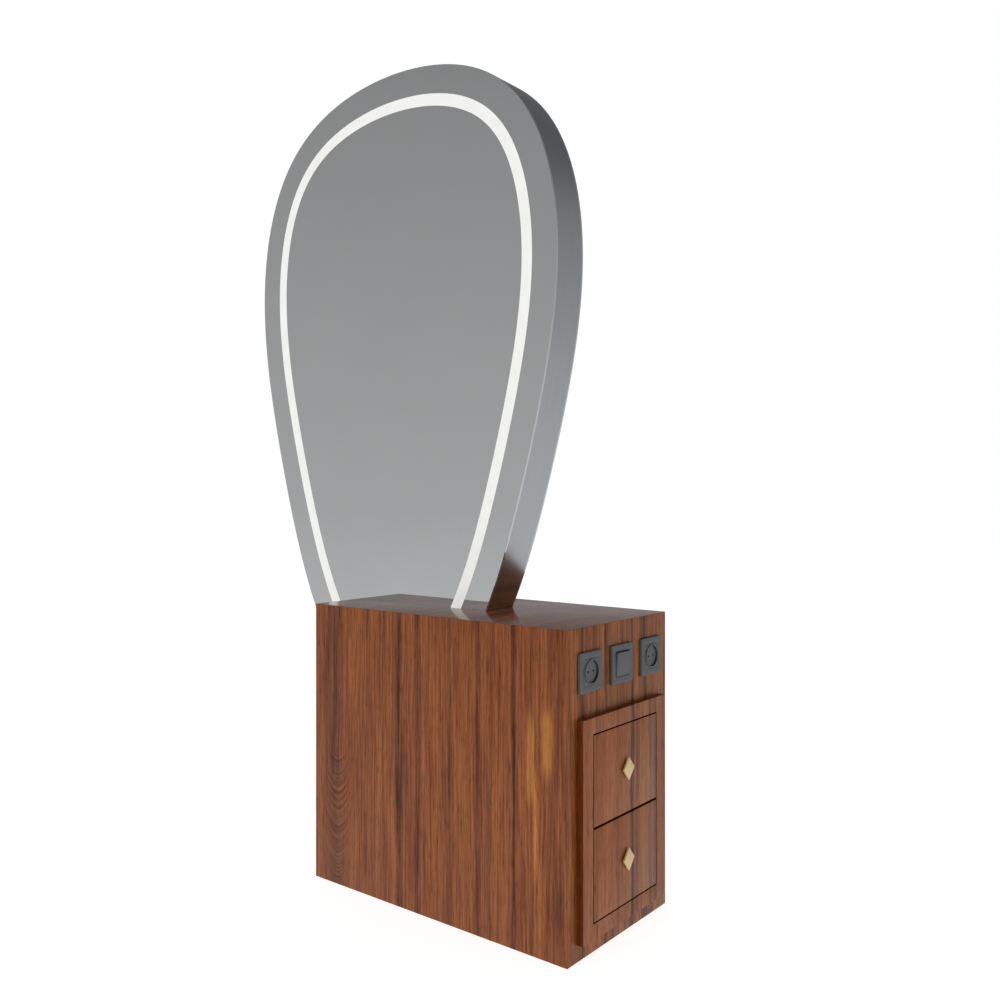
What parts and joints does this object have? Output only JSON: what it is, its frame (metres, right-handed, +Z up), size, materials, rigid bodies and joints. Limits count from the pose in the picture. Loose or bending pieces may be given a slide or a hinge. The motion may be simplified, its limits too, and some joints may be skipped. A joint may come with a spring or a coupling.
{
  "type": "freestanding_double_sided_mirror",
  "caption": "Freestanding styling station: a tall egg-shaped double-sided mirror with a lit band, standing in a walnut-veneered cabinet with drawers, sockets and a switch at one end.",
  "frame": {"origin": "centre of the cabinet's footprint on the floor", "axes": "+X out of the cabinet end with the drawers, sockets and switch; +Y towards the back face; +Z up"},
  "size_m": [1.1282, 0.384, 1.929],
  "materials": {
    "veneer": "glossy lacquered walnut veneer",
    "birch": "clear lacquered birch ply",
    "core": "sawn timber core",
    "silvered_glass": "silvered float glass, polished edge",
    "rim_steel": "bright stainless strip",
    "opal": "opal acrylic",
    "led_tape": "lamp tape",
    "zinc_steel": "zinc plated",
    "knob_brass": "satin pale brass",
    "anthracite": "satin anthracite",
    "grey_plastic": "moulded dark grey",
    "contact_steel": "nickel plated spring steel",
    "white_plastic": "moulded white"
  },
  "bodies": {
    "station": {"back_board": "veneer", "back_drawer_cheek": "birch", "back_led_tape": "led_tape", "back_light_band": "opal", "back_mirror_glass": "silvered_glass", "bottom_board": "veneer", "cable_grommet": "grey_plastic", "drawer_ceiling": "birch", "drawer_divider": "birch", "drawer_end_board": "veneer", "drawer_surround": "veneer", "front_board": "veneer", "front_drawer_cheek": "birch", "front_led_tape": "led_tape", "front_light_band": "opal", "front_mirror_glass": "silvered_glass", "lamp_driver": "white_plastic", "left_socket_box": "grey_plastic", "left_socket_earth_strap": "contact_steel", "left_socket_frame": "anthracite", "left_socket_insert": "anthracite", "lower_back_slide_fixed": "zinc_steel", "lower_front_slide_fixed": "zinc_steel", "mirror_core": "core", "mirror_post": "core", "mirror_rim": "rim_steel", "plain_end_board": "veneer", "right_socket_box": "grey_plastic", "right_socket_earth_strap": "contact_steel", "right_socket_frame": "anthracite", "right_socket_insert": "anthracite", "switch_box": "grey_plastic", "switch_frame": "anthracite", "switch_mechanism": "grey_plastic", "top_board": "veneer", "upper_back_slide_fixed": "zinc_steel", "upper_front_slide_fixed": "zinc_steel"},
    "upper_drawer": {"upper_back_slide_moving": "zinc_steel", "upper_drawer_back_side": "birch", "upper_drawer_base": "birch", "upper_drawer_front": "veneer", "upper_drawer_front_side": "birch", "upper_drawer_rear": "birch", "upper_front_slide_moving": "zinc_steel", "upper_knob": "knob_brass", "upper_knob_screw": "zinc_steel"},
    "lower_drawer": {"lower_back_slide_moving": "zinc_steel", "lower_drawer_back_side": "birch", "lower_drawer_base": "birch", "lower_drawer_front": "veneer", "lower_drawer_front_side": "birch", "lower_drawer_rear": "birch", "lower_front_slide_moving": "zinc_steel", "lower_knob": "knob_brass", "lower_knob_screw": "zinc_steel"},
    "upper_slide_middles": {"upper_back_slide_middle": "zinc_steel", "upper_front_slide_middle": "zinc_steel"},
    "lower_slide_middles": {"lower_back_slide_middle": "zinc_steel", "lower_front_slide_middle": "zinc_steel"},
    "rocker": {"switch_rocker": "anthracite"}
  },
  "joints": [
    {"name": "upper_drawer_slide", "type": "slide", "parent": "station", "child": "upper_drawer", "axis": [1, 0, 0], "range_m": [0, 0.33]},
    {"name": "upper_middle_slide", "type": "slide", "parent": "station", "child": "upper_slide_middles", "axis": [1, 0, 0], "range_m": [0, 0.165]},
    {"name": "lower_drawer_slide", "type": "slide", "parent": "station", "child": "lower_drawer", "axis": [1, 0, 0], "range_m": [0, 0.33]},
    {"name": "lower_middle_slide", "type": "slide", "parent": "station", "child": "lower_slide_middles", "axis": [1, 0, 0], "range_m": [0, 0.165]},
    {"name": "switch_rocker_hinge", "type": "hinge", "parent": "station", "child": "rocker", "pos_m": [0.366, 0, 0.562], "axis": [0, -1, 0], "range_deg": [0, 8]}
  ],
  "couplings": [
    {"joint": "upper_middle_slide", "follows": "upper_drawer_slide", "ratio": 0.5},
    {"joint": "lower_middle_slide", "follows": "lower_drawer_slide", "ratio": 0.5}
  ]
}
